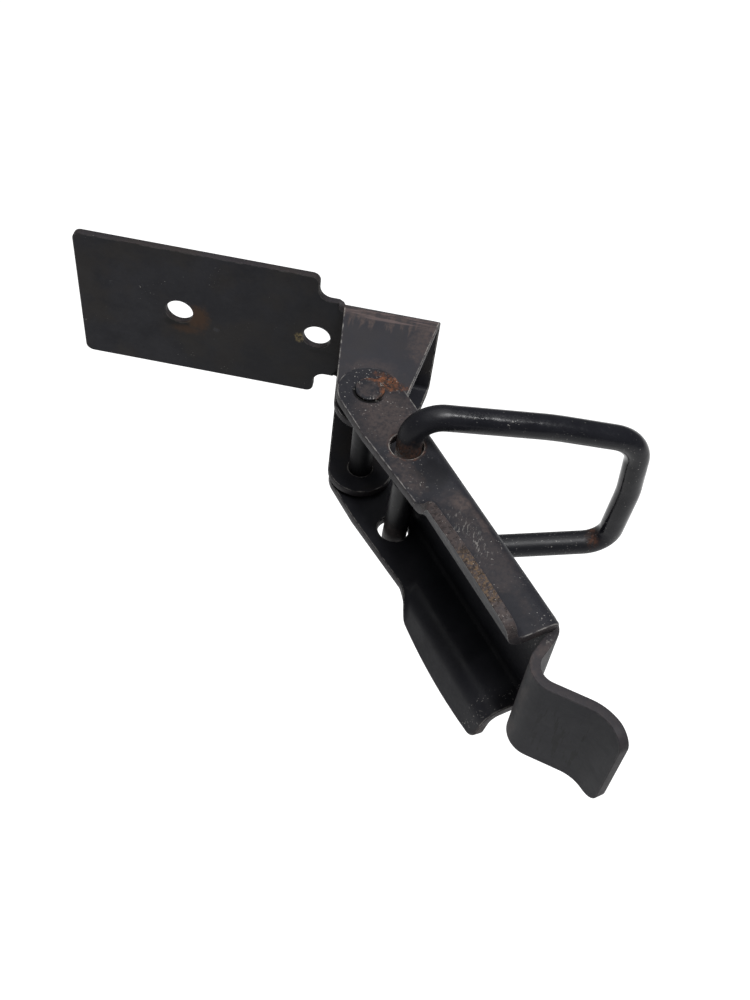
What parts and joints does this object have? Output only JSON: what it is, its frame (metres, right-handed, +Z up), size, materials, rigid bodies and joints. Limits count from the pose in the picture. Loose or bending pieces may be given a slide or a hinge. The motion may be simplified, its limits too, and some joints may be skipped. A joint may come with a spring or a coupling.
{
  "type": "toggle latch",
  "caption": "Black stamped-steel over-centre toggle latch: screw plate with folded ears, channel lever with flared lips and thumb tab, pivot rivet and bent wire bail.",
  "frame": {"origin": "midway between the two screw holes, on the mounting face", "axes": "+X the draw direction, from the screw plate to the bail; -Y away from the panel; +Z up along the pivot rivet"},
  "size_m": [0.1248, 0.0918, 0.0462],
  "materials": {
    "base_black_coat": "thin black coat, semi-gloss, worn through to rust in places",
    "rivet_worn_black": "black coat worn on the heads",
    "lever_black_coat": "thin black coat, semi-gloss, scuffed, with brown sheared edges",
    "bail_gloss_black": "glossier black coat on drawn wire"
  },
  "bodies": {
    "base": {"base_plate": "base_black_coat", "pivot_rivet": "rivet_worn_black"},
    "lever": {"lever": "lever_black_coat"},
    "bail": {"bail": "bail_gloss_black"}
  },
  "joints": [
    {"name": "lever_swing", "type": "hinge", "parent": "base", "child": "lever", "pos_m": [0.0304, -0.0274, 0], "axis": [0, 0, -1], "range_deg": [-53, 146]},
    {"name": "bail_swing", "type": "hinge", "parent": "lever", "child": "bail", "pos_m": [0.03969, -0.03968, 0], "axis": [0, 0, -1], "range_deg": [-146, 53]}
  ],
  "couplings": [
    {"joint": "bail_swing", "follows": "lever_swing", "ratio": -1}
  ]
}
